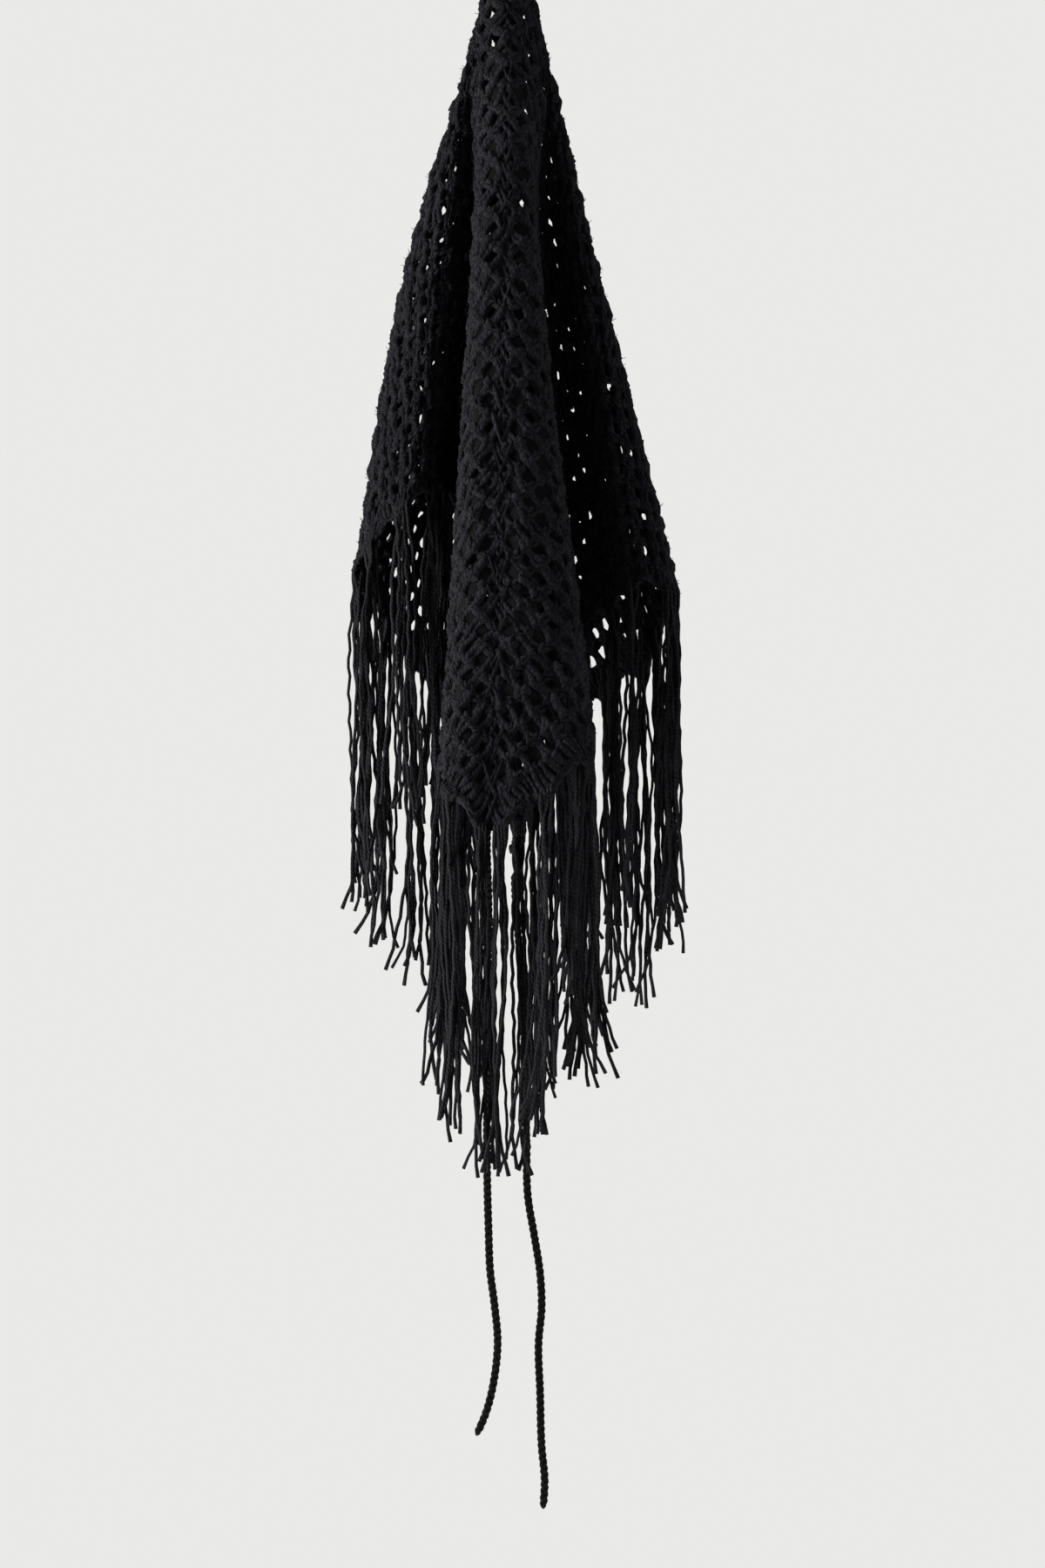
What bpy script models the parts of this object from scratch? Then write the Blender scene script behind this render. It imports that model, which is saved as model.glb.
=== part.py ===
"""Black crochet triangle scarf with long fringe, hanging from the middle of its long edge.

The scarf is one right-angled triangle of crochet. Both short edges carry a fringe, and each
end of the long edge carries a crocheted tie. It is held at the middle of the long edge, so the
right-angled point hangs in front and the two ends hang together at the back.

Frame: the hanging point is the origin, +Z is up, the front of the scarf faces -Y.
"""

import math

import bmesh
import bpy
from mathutils import Vector

MM = 0.001

# The cloth, in metres
SHORT_EDGE = 735 * MM
WALL = 2.4 * MM
SEAM = 0.6 * MM
NECK_DEPTH = 33 * MM
NECK_RADIUS = 16 * MM
NECK_GROWTH = 0.55
NECK_TURN = math.radians(171)
MID_DEPTH = 192 * MM
NECK_SHARE = 0.085
NECK_SEAM = 1.0 * MM
BANDS = 12
COLUMN_STEP = 0.025
NECK_SHARES = (0.0, 0.012, 0.04)
MERGE_DISTANCE = 0.01 * MM

# Eyelets of the crochet that are cut through
EYELET_WIDTH = 6.0 * MM
EYELET_HEIGHT = 7.5 * MM
FIRST_EYELET_BAND = 4
EYELET_STEP = 3

# Fringe
STRANDS_PER_BUNDLE = 4
STRAND = 2.0 * MM
ROOT_PITCH = 2.6 * MM
STRIP_HEIGHT = 3.0 * MM
STRIP_MARGIN = 3 * MM
FRINGE_LENGTH = 206 * MM
STRAND_STATIONS = (0.5, 1.0)
STRAND_SIDE = 1.8 * MM
STRAND_SPREAD = 0.4 * MM
ROOT_REACH = 1.5 * MM
BUNDLE_LAYER = 2.0 * MM
BUNDLE_STEP = 0.05

# How the fringe wanders: how far, how often along the edge and how much from strand to strand
LEAN, LEAN_RATE = 3 * MM, 12.0
UNEVENNESS, UNEVEN_RATE, UNEVEN_STRAND_RATE = 0.06, 91.0, 2.3

# Ties
TIE_DIAMETER = 5.5 * MM
TIE_POINTS = 38

# How the cloth hangs, in millimetres: one row for each line that runs from the hanging point
# to a short edge. place is the share of the short edge from the front point (0) to the right
# end (1) or the left end (-1). mid is the line's plan position at MID_DEPTH, hem its plan
# position at the short edge, and drop how far the edge is below the hanging point there.
FOLDS = (
    # place, mid_x, mid_y, hem_x, hem_y, drop
    (-1.00, -5, 57, -13, 116, 535),
    (-0.96, -12, 48, -18, 99, 515),
    (-0.90, -24, 41, -34, 79, 486),
    (-0.86, -34, 44, -47, 86, 466),
    (-0.79, -47, 36, -70, 72, 428),
    (-0.73, -56, 25, -86, 47, 405),
    (-0.67, -62, 12, -95, 20, 388),
    (-0.63, -60, 0, -91, -3, 376),
    (-0.59, -53, -11, -77, -20, 360),
    (-0.55, -44, -18, -60, -30, 345),
    (-0.51, -35, -13, -47, -20, 335),
    (-0.47, -29, 1, -43, 5, 333),
    (-0.43, -24, 15, -36, 33, 339),
    (-0.40, -20, 17, -27, 37, 354),
    (-0.30, -20, -4, -30, 14, 416),
    (-0.16, -19, -44, -37, -44, 488),
    (-0.10, -17, -60, -39, -82, 511),
    (-0.055, -11, -66, -34, -107, 527),
    (0.0, -1, -68, -10, -113, 551),
    (0.05, 9, -69, 16, -118, 531),
    (0.10, 16, -61, 45, -111, 508),
    (0.14, 17, -50, 50, -90, 495),
    (0.24, 17, -21, 45, -31, 462),
    (0.34, 20, 11, 35, 32, 430),
    (0.37, 24, 18, 38, 46, 419),
    (0.40, 29, 20, 45, 54, 413),
    (0.44, 37, 13, 62, 36, 410),
    (0.48, 41, 1, 70, 11, 406),
    (0.522, 46, -11, 81, -19, 395),
    (0.56, 52, -9, 101, -18, 400),
    (0.607, 54, 3, 105, 8, 398),
    (0.66, 50, 17, 95, 34, 424),
    (0.715, 43, 30, 86, 60, 448),
    (0.755, 38, 40, 67, 77, 456),
    (0.835, 25, 48, 34, 94, 498),
    (0.88, 17, 41, 25, 81, 520),
    (0.945, 9, 48, 9, 104, 552),
    (1.00, 3, 57, 4, 126, 580),
)

# The five stretches of the hanging cloth, each a piece of the same triangle. The fringe's strip
# is looped on below the edge, a little lower where the edge turns sharply.
STRETCHES = (
    # name, from place, to place, fringe gap in millimetres
    ("back_left", -1.0, -0.7, 0.8),
    ("left", -0.7, -0.2, 1.3),
    ("front", -0.2, 0.2, 0.4),
    ("right", 0.2, 0.7, 0.6),
    ("back_right", 0.7, 1.0, 1.4),
)

# The ties' routes in millimetres, from the corner of the cloth down to the free end
TIE_ROUTES = {
    "tie_left": (
        (-13, 116.5, -535.8), (-14, 122, -560), (-13, 125, -600), (-14, 127, -660),
        (-14, 127, -720), (-14, 127, -776), (-13, 127, -816), (-12, 126, -842),
        (-9, 126, -866), (-7, 126, -889), (-9, 126, -912), (-15, 126, -937), (-21, 126, -951),
    ),
    "tie_right": (
        (4, 126.5, -580.8), (5, 132, -604), (8, 136, -640), (11, 138, -700), (12, 138, -760),
        (13, 138, -796), (17, 138, -820), (21, 138, -846), (22, 138, -868), (20, 138, -891),
        (21, 138, -925), (22, 138, -960), (24, 138, -983), (23, 138, -1001),
    ),
}

YARN_BLACK = (0.010, 0.010, 0.012, 1.0)


def clear_scene():
    for obj in list(bpy.data.objects):
        bpy.data.objects.remove(obj, do_unlink=True)


def make_material(name, colour, roughness):
    material = bpy.data.materials.new(name)
    material.use_nodes = True
    shader = material.node_tree.nodes["Principled BSDF"]
    shader.inputs["Base Color"].default_value = colour
    shader.inputs["Roughness"].default_value = roughness
    shader.inputs["Metallic"].default_value = 0.0
    return material


def slopes_at(stations, values):
    """Slope of a smooth curve at each of its stations."""
    slopes = []
    last = len(stations) - 1
    for k in range(last + 1):
        low, high = max(k - 1, 0), min(k + 1, last)
        if low == k or high == k:
            slopes.append((values[high] - values[low]) / (stations[high] - stations[low]))
            continue
        before = stations[k] - stations[low]
        after = stations[high] - stations[k]
        rise_before = (values[k] - values[low]) / before
        rise_after = (values[high] - values[k]) / after
        slopes.append((rise_before * after + rise_after * before) / (before + after))
    return slopes


def smooth_value(stations, values, slopes, where):
    """Value of the smooth curve through the stations, at one place."""
    k = 0
    while k < len(stations) - 2 and where > stations[k + 1]:
        k += 1
    span = stations[k + 1] - stations[k]
    t = (where - stations[k]) / span
    start = (1 + 2 * t) * (1 - t) ** 2 * values[k] + t * (1 - t) ** 2 * span * slopes[k]
    end = t * t * (3 - 2 * t) * values[k + 1] + t * t * (t - 1) * span * slopes[k + 1]
    return start + end


def fold_curves(rows):
    """Smooth curves through the columns of some rows of the fold table, in metres."""
    places = [row[0] for row in rows]
    columns = [[row[c] * MM for row in rows] for c in range(1, 6)]
    return [(places, column, slopes_at(places, column)) for column in columns]


# The spine is a crease, so each half of the cloth has curves of its own
LEFT_HALF = fold_curves([row for row in FOLDS if row[0] <= 0])
RIGHT_HALF = fold_curves([row for row in FOLDS if row[0] >= 0])


def hang_line(place):
    """mid_x, mid_y, hem_x, hem_y and drop of the line at a place, in metres."""
    half = LEFT_HALF if place < 0 else RIGHT_HALF
    return [smooth_value(*curve, place) for curve in half]


def cloth_point(place, share):
    """Point of the cloth's middle surface, share of the way from the hanging point to the edge."""
    mid_x, mid_y, hem_x, hem_y, drop = hang_line(place)
    depth = share * drop
    turn = place * NECK_TURN
    reach = NECK_RADIUS * (min(depth, NECK_DEPTH) / NECK_DEPTH) ** NECK_GROWTH
    neck_x = reach * math.sin(turn)
    neck_y = -reach * math.cos(turn)
    if depth <= NECK_DEPTH:
        return Vector((neck_x, neck_y, -depth))
    stations = (NECK_DEPTH, MID_DEPTH, drop)
    plan = []
    for neck, mid, hem in ((neck_x, mid_x, hem_x), (neck_y, mid_y, hem_y)):
        values = (neck, mid, hem)
        slopes = slopes_at(stations, values)
        slopes[0] = NECK_GROWTH * neck / NECK_DEPTH
        plan.append(smooth_value(stations, values, slopes, depth))
    return Vector((plan[0], plan[1], -depth))


def evenly(low, high, count):
    return [low + (high - low) * k / count for k in range(count + 1)]


def cloth_columns(low, high):
    """Places of the columns of cloth between two places of the short edges."""
    return evenly(low, high, round((high - low) / COLUMN_STEP))


def edge_frame(place):
    """The edge point at a place, the cloth's outward direction and the one square off its edge."""
    here = cloth_point(place, 1.0)
    fall = here - cloth_point(place, 1.0 - 1.0 / BANDS)
    low, high = max(place - COLUMN_STEP, -1.0), min(place + COLUMN_STEP, 1.0)
    along = (cloth_point(high, 1.0) - cloth_point(low, 1.0)).normalized()
    out = fall.cross(along).normalized()
    return here, out, along.cross(out)


def facet_frame(place, places):
    """The edge frame on the straight facet between the two columns of cloth around a place."""
    k = 0
    while k < len(places) - 2 and place > places[k + 1]:
        k += 1
    t = (place - places[k]) / (places[k + 1] - places[k])
    return [before.lerp(after, t)
            for before, after in zip(edge_frame(places[k]), edge_frame(places[k + 1]))]


def seam_place(place, share, places):
    """A place, pulled in by half a seam where it is the side of a stretch that has a neighbour."""
    if place == places[0] and place > -1.0:
        return place + 0.5 * SEAM / (SHORT_EDGE * share)
    if place == places[-1] and place < 1.0:
        return place - 0.5 * SEAM / (SHORT_EDGE * share)
    return place


def hang_grid(bm, places, shares):
    """A flat grid whose points are hung in place. Returns the grid steps of each corner."""
    columns, rows = len(places) - 1, len(shares) - 1
    grid = bmesh.ops.create_grid(bm, x_segments=columns, y_segments=rows, size=0.5)
    steps = {}
    for vert in grid["verts"]:
        column = round((vert.co.x + 0.5) * columns)
        row = rows - round((vert.co.y + 0.5) * rows)
        steps[vert] = (column, row)
        share = shares[row]
        vert.co = cloth_point(seam_place(places[column], share, places), share)
    return steps


def cut_eyelets(bm, steps, places, shares):
    """Opens one eyelet in every third cell of the lower bands."""
    for face in bm.faces[:]:
        corners = [steps[vert] for vert in face.verts]
        column = min(corner[0] for corner in corners)
        row = min(corner[1] for corner in corners)
        if row < FIRST_EYELET_BAND or (column + 2 * row) % EYELET_STEP:
            continue
        place = 0.5 * (places[column] + places[column + 1])
        share = 0.5 * (shares[row] + shares[row + 1])
        half_place = 0.5 * EYELET_WIDTH / (share * SHORT_EDGE)
        half_share = 0.5 * EYELET_HEIGHT / hang_line(place)[4]
        bmesh.ops.inset_individual(bm, faces=[face], thickness=WALL)
        for vert, corner in zip(face.verts, corners):
            side = 1 if corner[0] > column else -1
            fall = 1 if corner[1] > row else -1
            vert.co = cloth_point(place + side * half_place, share + fall * half_share)
        bmesh.ops.delete(bm, geom=[face], context="FACES_ONLY")


def add_object(name, bm, material, collection):
    mesh = bpy.data.meshes.new(name)
    bm.to_mesh(mesh)
    bm.free()
    mesh.materials.append(material)
    obj = bpy.data.objects.new(name, mesh)
    collection.objects.link(obj)
    return obj


def add_wall(obj):
    wall = obj.modifiers.new("wall", "SOLIDIFY")
    wall.thickness = WALL
    wall.offset = 0.0


def make_stretch(name, low, high, material, collection):
    """One stretch of the hanging triangle, from below the gathered neck to the fringed edge."""
    places = cloth_columns(low, high)
    shares = evenly(NECK_SHARE, 1.0, BANDS)
    bm = bmesh.new()
    steps = hang_grid(bm, places, shares)
    cut_eyelets(bm, steps, places, shares)
    add_wall(add_object("cloth_" + name, bm, material, collection))


def make_neck(material, collection):
    """The gathered top of the triangle, closed at the hanging point and open down the back."""
    places = cloth_columns(-1.0, 1.0)
    shares = list(NECK_SHARES)
    shares.append(NECK_SHARE - NECK_SEAM / hang_line(0.0)[4])
    bm = bmesh.new()
    hang_grid(bm, places, shares)
    bmesh.ops.remove_doubles(bm, verts=bm.verts, dist=MERGE_DISTANCE)
    add_wall(add_object("cloth_neck", bm, material, collection))


def strand_line(root, along, down, place, strand):
    """Centres of a strand below its root: where it turns down, its middle and its free end.

    On a steep edge the upper strands reach further out, so all of them hang side by side.
    """
    upper = strand if along.z > 0 else STRANDS_PER_BUNDLE - 1 - strand
    flat_along = Vector((along.x, along.y, 0)).normalized()
    flat_out = Vector((-flat_along.y, flat_along.x, 0))
    layer = BUNDLE_LAYER if round(place / BUNDLE_STEP - 0.25) % 2 else -BUNDLE_LAYER
    elbow = root + down * (ROOT_REACH + ROOT_PITCH * abs(along.z) * upper) + flat_out * layer
    lean = math.sin(place * LEAN_RATE) * LEAN
    spread = (strand - 0.5 * (STRANDS_PER_BUNDLE - 1)) * STRAND_SPREAD
    wave = math.sin(place * UNEVEN_RATE + strand * UNEVEN_STRAND_RATE)
    length = FRINGE_LENGTH * (1.0 + UNEVENNESS * wave)
    line = [elbow]
    for fall in STRAND_STATIONS:
        aside = (lean * fall + spread) * fall
        line.append(elbow + flat_along * aside - Vector((0, 0, length * fall)))
    return line, flat_along, flat_out


def strip_places(cloth_places):
    """Places of a fringe strip's columns, and where the strands' roots are among them.

    Each pair of cloth columns has one bundle, in the column that is nearer to the front point.
    """
    root_step = ROOT_PITCH / SHORT_EDGE
    places, roots = [cloth_places[0] + STRIP_MARGIN / SHORT_EDGE], {}
    for k in range(1, len(cloth_places), 2):
        before, middle, after = cloth_places[k - 1:k + 2]
        if middle < 0:
            places.append(middle)
        bundle = 0.5 * (middle + (after if middle < 0 else before))
        for strand in range(STRANDS_PER_BUNDLE + 1):
            if strand < STRANDS_PER_BUNDLE:
                roots[len(places)] = (bundle, strand)
            places.append(bundle + (strand - 0.5 * STRANDS_PER_BUNDLE) * root_step)
        if middle > 0:
            places.append(middle)
        places.append(after)
    places[-1] -= STRIP_MARGIN / SHORT_EDGE
    return places, roots


def make_fringe(name, low, high, gap, material, collection):
    """The fringe of one stretch: a narrow strip under the edge, with strands drawn out of it."""
    cloth_places = cloth_columns(low, high)
    places, roots = strip_places(cloth_places)

    bm = bmesh.new()
    columns = len(places) - 1
    bmesh.ops.create_grid(bm, x_segments=columns, y_segments=1, size=0.5)
    root_faces = {}
    for face in bm.faces:
        column = int((face.calc_center_median().x + 0.5) * columns)
        if column in roots:
            root_faces[face] = roots[column]
    lifted = bmesh.ops.extrude_face_region(bm, geom=bm.faces[:], use_keep_orig=True)["geom"]
    corners = {}
    for vert in bm.verts:
        column = round((vert.co.x + 0.5) * columns)
        here, out, down = facet_frame(places[column], cloth_places)
        side = -1 if vert.co.y > 0 else 1
        below = gap if vert in lifted else gap + STRIP_HEIGHT
        vert.co = here + down * below + out * (side * 0.5 * STRAND)
        corners[vert] = (column, side)

    for face, (place, strand) in root_faces.items():
        here, out, down = facet_frame(place, cloth_places)
        beside = facet_frame(place + ROOT_PITCH / SHORT_EDGE, cloth_places)[0]
        along = (beside - here).normalized()
        root = face.calc_center_median()
        line, flat_along, flat_out = strand_line(root, along, down, place, strand)
        column = min(corners[vert][0] for vert in face.verts)
        facing = math.copysign(0.5 * STRAND_SIDE, out.dot(flat_out))
        tip = face
        for centre in line:
            tip = bmesh.ops.extrude_discrete_faces(bm, faces=[tip])["faces"][0]
            for vert in tip.verts:
                above = [edge.other_vert(vert) for edge in vert.link_edges]
                corners[vert] = next(corners[v] for v in above if v not in tip.verts)
                after = 0.5 * STRAND_SIDE if corners[vert][0] > column else -0.5 * STRAND_SIDE
                vert.co = centre + flat_along * after + flat_out * (corners[vert][1] * facing)
    bmesh.ops.recalc_face_normals(bm, faces=bm.faces)
    add_object("fringe_" + name, bm, material, collection)


def make_tie(name, route, material, collection):
    """A crocheted tie: a soft round cord that hangs from a corner of the cloth."""
    corners = [Vector(point) * MM for point in route]
    stations = [0.0]
    for before, after in zip(corners, corners[1:]):
        stations.append(stations[-1] + (after - before).length)
    axes = [[corner[axis] for corner in corners] for axis in range(3)]
    axis_slopes = [slopes_at(stations, values) for values in axes]
    curve = bpy.data.curves.new(name, "CURVE")
    curve.dimensions = "3D"
    curve.bevel_depth = 0.5 * TIE_DIAMETER
    curve.bevel_resolution = 2
    curve.use_fill_caps = True
    spline = curve.splines.new("POLY")
    spline.points.add(TIE_POINTS - 1)
    for k, along in enumerate(evenly(0.0, stations[-1], TIE_POINTS - 1)):
        point = [smooth_value(stations, values, slopes, along)
                 for values, slopes in zip(axes, axis_slopes)]
        spline.points[k].co = (*point, 1.0)
    curve.materials.append(material)
    collection.objects.link(bpy.data.objects.new(name, curve))


def main():
    clear_scene()
    scarf = bpy.data.collections.new("crochet_scarf")
    bpy.context.scene.collection.children.link(scarf)
    cloth_yarn = make_material("cloth_yarn", YARN_BLACK, 0.9)
    fringe_yarn = make_material("fringe_yarn", YARN_BLACK, 0.8)
    tie_yarn = make_material("tie_yarn", YARN_BLACK, 0.85)
    make_neck(cloth_yarn, scarf)
    for name, low, high, gap in STRETCHES:
        make_stretch(name, low, high, cloth_yarn, scarf)
        make_fringe(name, low, high, gap * MM, fringe_yarn, scarf)
    for name, route in TIE_ROUTES.items():
        make_tie(name, route, tie_yarn, scarf)


main()
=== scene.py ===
# %% [markdown]
# # A black crochet triangle scarf
# The scarf is one right-angled triangle of crochet with a fringe on both short edges and a
# crocheted tie at each end of the long edge. It hangs from the middle of the long edge, so the
# right-angled point comes to the front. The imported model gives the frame, with the hanging
# point at the origin, and every piece below is made in that frame, in metres.

import math

import bmesh
import bpy
import numpy as np
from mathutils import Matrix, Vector


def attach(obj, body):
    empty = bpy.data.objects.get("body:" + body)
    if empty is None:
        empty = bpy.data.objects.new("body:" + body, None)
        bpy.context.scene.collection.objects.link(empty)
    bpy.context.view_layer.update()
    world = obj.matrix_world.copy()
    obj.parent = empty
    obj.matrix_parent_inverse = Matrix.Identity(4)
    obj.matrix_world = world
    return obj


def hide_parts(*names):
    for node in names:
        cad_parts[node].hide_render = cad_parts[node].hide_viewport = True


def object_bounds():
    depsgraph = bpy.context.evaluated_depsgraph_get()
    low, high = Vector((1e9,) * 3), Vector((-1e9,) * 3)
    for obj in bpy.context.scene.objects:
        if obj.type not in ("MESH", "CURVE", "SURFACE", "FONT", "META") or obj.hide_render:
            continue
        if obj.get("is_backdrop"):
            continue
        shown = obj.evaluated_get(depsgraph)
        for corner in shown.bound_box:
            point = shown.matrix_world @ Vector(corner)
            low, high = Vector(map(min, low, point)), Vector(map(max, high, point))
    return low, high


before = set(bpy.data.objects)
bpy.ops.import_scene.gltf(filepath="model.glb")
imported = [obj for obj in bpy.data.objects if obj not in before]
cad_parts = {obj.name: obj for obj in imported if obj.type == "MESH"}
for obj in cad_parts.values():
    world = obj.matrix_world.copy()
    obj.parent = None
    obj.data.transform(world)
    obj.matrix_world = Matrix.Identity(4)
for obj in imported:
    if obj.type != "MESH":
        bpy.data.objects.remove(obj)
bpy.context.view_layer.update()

MM = 0.001
SEED = 7
scene = bpy.context.scene
rng = np.random.default_rng(SEED)

# %% [markdown]
# ## Camera
# The picture is taken level, from 3 m in front, with a long lens, so the scarf's sides stay
# nearly parallel. The lens could be found by trying, but it follows from two known sizes: the
# distance, and the height of the view. One pixel of the 1800 pixel high picture is 0.55 mm at
# the hanging point's depth.

# %% Camera
CAMERA_DISTANCE = 3.0
VIEW_CENTRE = (9.35 * MM, -522.5 * MM)
PIXEL = 0.55 * MM
PICTURE_HEIGHT = 1800
SENSOR = 36.0

camera_data = bpy.data.cameras.new("camera")
camera_data.sensor_fit = "VERTICAL"
camera_data.sensor_height = SENSOR
camera_data.sensor_width = SENSOR
camera_data.lens = SENSOR * CAMERA_DISTANCE / (PICTURE_HEIGHT * PIXEL)
camera = bpy.data.objects.new("camera", camera_data)
camera.location = (VIEW_CENTRE[0], -CAMERA_DISTANCE, VIEW_CENTRE[1])
camera.rotation_euler = (math.radians(90), 0, 0)
scene.collection.objects.link(camera)
scene.camera = camera
print("lens", round(camera_data.lens, 1), "mm")

# %% [markdown]
# ## How the cloth hangs
# The rows of crochet run parallel to the short edges. So each point of the cloth has a place
# along the short edges, from the front point (0) to the right end (1) or the left end (-1), and
# a share of the way from the hanging point to the edge. A cloth simulation could make the
# folds, but it would find folds of its own. One table says instead where the line of each place
# hangs at mid height and at the edge. Yarn can then be laid out flat, as it is worked, and be
# carried to the hanging form in one move.

# %% The fold table
SHORT_EDGE = 735 * MM
HEIGHT = 0.5 * SHORT_EDGE  # from the hanging point straight across the rows

FOLDS = np.array((
    # place, mid_x, mid_y, hem_x, hem_y, drop, in millimetres
    (-1.00, -5, 57, -13, 116, 535),
    (-0.96, -12, 48, -18, 99, 515),
    (-0.90, -24, 41, -34, 79, 486),
    (-0.86, -34, 44, -47, 86, 466),
    (-0.79, -47, 36, -70, 72, 428),
    (-0.73, -56, 25, -86, 47, 405),
    (-0.67, -62, 12, -95, 20, 388),
    (-0.63, -60, 0, -91, -3, 376),
    (-0.59, -53, -11, -77, -20, 360),
    (-0.55, -44, -18, -60, -30, 345),
    (-0.51, -35, -13, -47, -20, 335),
    (-0.47, -29, 1, -43, 5, 333),
    (-0.43, -24, 15, -36, 33, 339),
    (-0.40, -20, 17, -27, 37, 354),
    (-0.30, -20, -4, -30, 14, 416),
    (-0.16, -19, -44, -37, -44, 488),
    (-0.10, -17, -60, -39, -82, 511),
    (-0.055, -11, -66, -34, -107, 527),
    (0.0, -1, -68, -10, -113, 551),
    (0.05, 9, -69, 16, -118, 531),
    (0.10, 16, -61, 45, -111, 508),
    (0.14, 17, -50, 50, -90, 495),
    (0.24, 17, -21, 45, -31, 462),
    (0.34, 20, 11, 35, 32, 430),
    (0.37, 24, 18, 38, 46, 419),
    (0.40, 29, 20, 45, 54, 413),
    (0.44, 37, 13, 62, 36, 410),
    (0.48, 41, 1, 70, 11, 406),
    (0.522, 46, -11, 81, -19, 395),
    (0.56, 52, -9, 101, -18, 400),
    (0.607, 54, 3, 105, 8, 398),
    (0.66, 50, 17, 95, 34, 424),
    (0.715, 43, 30, 86, 60, 448),
    (0.755, 38, 40, 67, 77, 456),
    (0.835, 25, 48, 34, 94, 498),
    (0.88, 17, 41, 25, 81, 520),
    (0.945, 9, 48, 9, 104, 552),
    (1.00, 3, 57, 4, 126, 580),
))
print(len(FOLDS), "lines of the cloth are given, from one end of the long edge to the other")

# %% [markdown]
# ## Smooth curves through the table
# Straight steps from one row of the table to the next would crease the cloth. A smooth curve
# runs through the rows instead, with a slope at each row that follows from its neighbours. Each
# half of the cloth has curves of its own, because the spine between them may be sharper.

# %% Curves
def slopes_at(stations, values):
    """Slope of a smooth curve at each of its stations, along the first axis."""
    steps = np.diff(stations, axis=0)
    rises = np.diff(values, axis=0) / steps
    inner = (rises[:-1] * steps[1:] + rises[1:] * steps[:-1]) / (steps[:-1] + steps[1:])
    return np.concatenate((rises[:1], inner, rises[-1:]))


def smooth_value(start, end, span, start_slope, end_slope, t):
    """Point t of the way along a smooth curve between two stations."""
    before = (1 + 2 * t) * (1 - t) ** 2 * start + t * (1 - t) ** 2 * span * start_slope
    after = t * t * (3 - 2 * t) * end + t * t * (t - 1) * span * end_slope
    return before + after


def half_curves(rows):
    """Places, columns in metres and their slopes, for one half of the table."""
    places, columns = rows[:, :1], rows[:, 1:] * MM
    return rows[:, 0], columns, slopes_at(places, columns)


LEFT_HALF = half_curves(FOLDS[FOLDS[:, 0] <= 0])
RIGHT_HALF = half_curves(FOLDS[FOLDS[:, 0] >= 0])


def hang_lines(place):
    """mid_x, mid_y, hem_x, hem_y and drop of the lines at an array of places."""
    lines = np.empty((len(place), 5))
    for (places, columns, slopes), chosen in ((LEFT_HALF, place < 0), (RIGHT_HALF, place >= 0)):
        where = place[chosen]
        k = np.clip(np.searchsorted(places, where, side="right") - 1, 0, len(places) - 2)
        span = (places[k + 1] - places[k])[:, None]
        t = (where[:, None] - places[k][:, None]) / span
        lines[chosen] = smooth_value(columns[k], columns[k + 1], span, slopes[k], slopes[k + 1], t)
    return lines


print("the spine drops", hang_lines(np.array([0.0]))[0, -1].round(3), "m")

# %% [markdown]
# ## The cloth's middle surface
# At the top the cloth is gathered closely round the hanging point. All lines starting in one
# point would make a sharp cone, so each leaves a small round neck in a direction that turns
# with its place. Below the neck two smooth stretches carry the line through its point at mid
# height and on to the edge.

# %% Points of the cloth
NECK_DEPTH = 33 * MM
NECK_RADIUS = 16 * MM
NECK_GROWTH = 0.55
NECK_TURN = math.radians(171)
MID_DEPTH = 192 * MM


def cloth_points(place, share):
    """Points of the cloth's middle surface at arrays of places and shares."""
    mid_x, mid_y, hem_x, hem_y, drop = hang_lines(place).T
    depth = share * drop
    turn = place * NECK_TURN
    reach = NECK_RADIUS * (np.minimum(depth, NECK_DEPTH) / NECK_DEPTH) ** NECK_GROWTH
    points = np.stack((reach * np.sin(turn), -reach * np.cos(turn), -depth), axis=1)
    below = depth > NECK_DEPTH
    first, second = MID_DEPTH - NECK_DEPTH, drop[below] - MID_DEPTH
    t = (depth[below] - NECK_DEPTH) / first
    u = (depth[below] - MID_DEPTH) / second
    for axis, mid, hem in ((0, mid_x[below], hem_x[below]), (1, mid_y[below], hem_y[below])):
        neck = points[below, axis]
        rise_before, rise_after = (mid - neck) / first, (hem - mid) / second
        mid_slope = (rise_before * second + rise_after * first) / (first + second)
        upper = smooth_value(neck, mid, first, NECK_GROWTH * neck / NECK_DEPTH, mid_slope, t)
        lower = smooth_value(mid, hem, second, mid_slope, rise_after, u)
        points[below, axis] = np.where(depth[below] < MID_DEPTH, upper, lower)
    return points


edge_point = cloth_points(np.array([0.0]), np.array([1.0]))[0]
print("front point hangs at", edge_point.round(4))

# %% [markdown]
# ## From flat to hanging
# Stitches could be set on the folds one by one, but a maker counts them on flat cloth, so the
# yarn is drawn flat and then hung. Flat yarn has three coordinates: how far along the row it
# is, counted from the middle of the short edge; how far it is from the long edge's middle,
# across the rows; and how high it stands on the cloth. The first two give place and share, and
# the third goes along the cloth's normal, which comes from two small steps on the surface. The
# crochet isn't flat: it puckers softly at every cluster, and each bundle of the fringe pulls its
# bit of the edge down into a scallop.

# %% Hang flat points
TINY = 1e-12  # keeps a vector without length from being divided by zero
SURFACE_STEP = 0.002
LEAST_SHARE = 0.004
PLACE_RANGE = (-0.03, 1.01)  # a bit past the spine and the long edge
BUNDLES = 20
FIRST_BUNDLE = 0.25
SCALLOP = 3 * MM
SCALLOP_SHARE = 0.9
PUCKER = 1.2 * MM
PUCKER_ALONG = 31 * MM
PUCKER_ACROSS = 25 * MM
PUCKER_SWAY = 0.8


def unit(vectors):
    """The same directions with length 1."""
    return vectors / (np.linalg.norm(vectors, axis=-1, keepdims=True) + TINY)


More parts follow.
